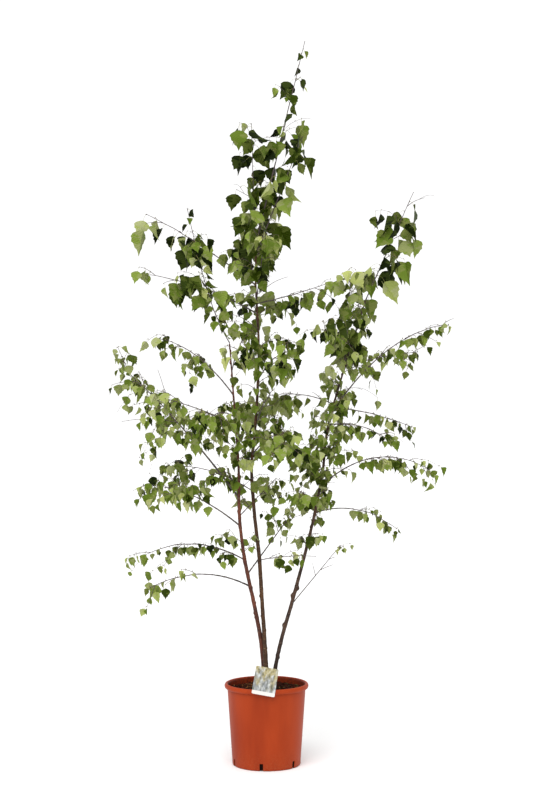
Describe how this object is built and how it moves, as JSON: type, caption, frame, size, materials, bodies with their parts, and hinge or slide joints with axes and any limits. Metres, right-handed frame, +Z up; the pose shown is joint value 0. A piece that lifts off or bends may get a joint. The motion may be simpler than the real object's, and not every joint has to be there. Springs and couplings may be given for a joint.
{
  "type": "potted multi-stemmed birch tree",
  "caption": "Young birch with slender stems from one root, in leaf, in a round nursery pot with a plant label; stands on the floor.",
  "frame": {"origin": "centre of the pot's flat underside", "axes": "+Z up along the plant's height, +X to the right as the picture shows it, +Y away from the viewer"},
  "size_m": [1.0717, 0.7709, 2.2372],
  "materials": {
    "pot_plastic": "satin",
    "potting_soil": "matte",
    "label_card": "gloss",
    "bark_red_brown": "satin",
    "bark_brown": "satin",
    "bark_grey_brown": "satin",
    "bough_bark": "satin",
    "leaf_green": "satin",
    "leaf_dark": "satin"
  },
  "bodies": {
    "root": {"pot": "pot_plastic", "soil": "potting_soil", "label": "label_card", "stem_left": "bark_red_brown", "stem_middle": "bark_brown", "stem_right": "bark_grey_brown", "bough_left_low": "bough_bark", "bough_left_mid": "bough_bark", "bough_left_strong": "bough_bark", "bough_left_arm": "bough_bark", "bough_cross_low": "bough_bark", "bough_middle_front": "bough_bark", "bough_middle_back": "bough_bark", "bough_right_inner": "bough_bark", "bough_left_reach": "bough_bark", "bough_left_crest": "bough_bark", "bough_right_bare": "bough_bark", "bough_right_low": "bough_bark", "bough_right_arm": "bough_bark", "bough_right_level": "bough_bark", "bough_right_long": "bough_bark", "bough_right_high": "bough_bark", "mass_left_low": "leaf_green", "mass_left_hook": "leaf_green", "mass_left_mid": "leaf_green", "mass_left_back": "leaf_green", "mass_left_strong": "leaf_green", "mass_left_upper": "leaf_green", "mass_left_front": "leaf_green", "mass_left_arm": "leaf_green", "mass_left_top": "leaf_dark", "mass_left_collar": "leaf_dark", "mass_cross_low": "leaf_green", "mass_centre_low": "leaf_green", "mass_centre_inner": "leaf_green", "mass_middle_front": "leaf_green", "mass_middle_back": "leaf_green", "mass_right_inner": "leaf_green", "mass_right_inner_high": "leaf_green", "mass_middle_high": "leaf_dark", "mass_left_reach": "leaf_dark", "mass_left_crest": "leaf_dark", "mass_right_reach": "leaf_dark", "mass_crown_back": "leaf_dark", "mass_crown_front": "leaf_dark", "mass_middle_core": "leaf_dark", "mass_top_left": "leaf_dark", "mass_leader": "leaf_dark", "mass_top_right": "leaf_dark", "mass_right_bare": "leaf_green", "mass_right_sprig": "leaf_green", "mass_right_low": "leaf_green", "mass_right_arm": "leaf_green", "mass_right_front": "leaf_green", "mass_right_level": "leaf_green", "mass_right_long": "leaf_green", "mass_right_high": "leaf_green", "mass_right_spire": "leaf_dark", "mass_right_fan": "leaf_dark", "mass_right_top": "leaf_dark"}
  },
  "joints": []
}
